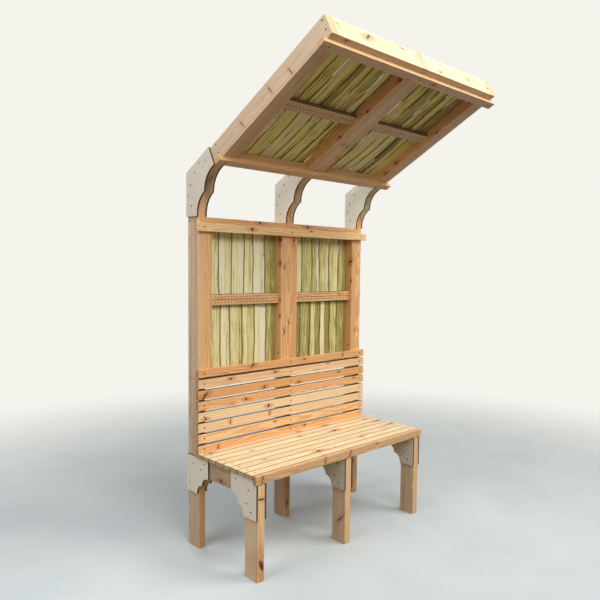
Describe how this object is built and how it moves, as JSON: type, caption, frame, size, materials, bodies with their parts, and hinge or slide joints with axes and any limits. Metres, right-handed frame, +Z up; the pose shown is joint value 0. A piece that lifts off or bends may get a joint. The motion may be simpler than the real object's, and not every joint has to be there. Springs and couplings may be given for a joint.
{
  "type": "covered bench",
  "caption": "Free-standing slatted wooden bench with a high back and a cantilevered roof, both closed with framed panels of riven laths; plywood gusset plates join the ribs.",
  "frame": {"origin": "on the floor, under the middle of the bench's overall box", "axes": "+Z up, -Y the way the sitter faces, +X to the right as seen from the front"},
  "size_m": [1.195, 0.9326, 2.2766],
  "materials": {
    "framing_timber": "planed, bare",
    "board_timber": "planed, bare",
    "plywood": "laser-cut, bare",
    "riven_lath": "riven, bare",
    "screw_steel": "dull, coated"
  },
  "bodies": {
    "root": {"left_front_leg": "framing_timber", "middle_front_leg": "framing_timber", "right_front_leg": "framing_timber", "left_post": "framing_timber", "middle_post": "framing_timber", "right_post": "framing_timber", "left_seat_rail": "framing_timber", "middle_seat_rail": "framing_timber", "right_seat_rail": "framing_timber", "left_rafter": "framing_timber", "middle_rafter": "framing_timber", "right_rafter": "framing_timber", "left_front_gussets": "plywood", "middle_front_gussets": "plywood", "right_front_gussets": "plywood", "left_rear_gussets": "plywood", "middle_rear_gussets": "plywood", "right_rear_gussets": "plywood", "left_roof_gussets": "plywood", "middle_roof_gussets": "plywood", "right_roof_gussets": "plywood", "seat_board_1": "board_timber", "seat_board_2": "board_timber", "seat_board_3": "board_timber", "seat_board_4": "board_timber", "seat_board_5": "board_timber", "seat_board_6": "board_timber", "seat_board_7": "board_timber", "seat_board_8": "board_timber", "seat_nosing": "board_timber", "back_base_batten": "board_timber", "back_board_1": "board_timber", "back_board_2": "board_timber", "back_board_3": "board_timber", "back_board_4": "board_timber", "back_board_5": "board_timber", "back_board_6": "board_timber", "back_top_batten": "board_timber", "panel_batten": "board_timber", "roof_rear_batten": "board_timber", "roof_front_batten": "board_timber", "left_back_stiles": "framing_timber", "left_back_rails": "framing_timber", "left_back_strips": "framing_timber", "left_back_laths": "riven_lath", "right_back_stiles": "framing_timber", "right_back_rails": "framing_timber", "right_back_strips": "framing_timber", "right_back_laths": "riven_lath", "left_roof_stiles": "framing_timber", "left_roof_rails": "framing_timber", "left_roof_strips": "framing_timber", "left_roof_laths": "riven_lath", "right_roof_stiles": "framing_timber", "right_roof_rails": "framing_timber", "right_roof_strips": "framing_timber", "right_roof_laths": "riven_lath", "gusset_screws": "screw_steel", "board_screws": "screw_steel", "panel_screws": "screw_steel"}
  },
  "joints": []
}
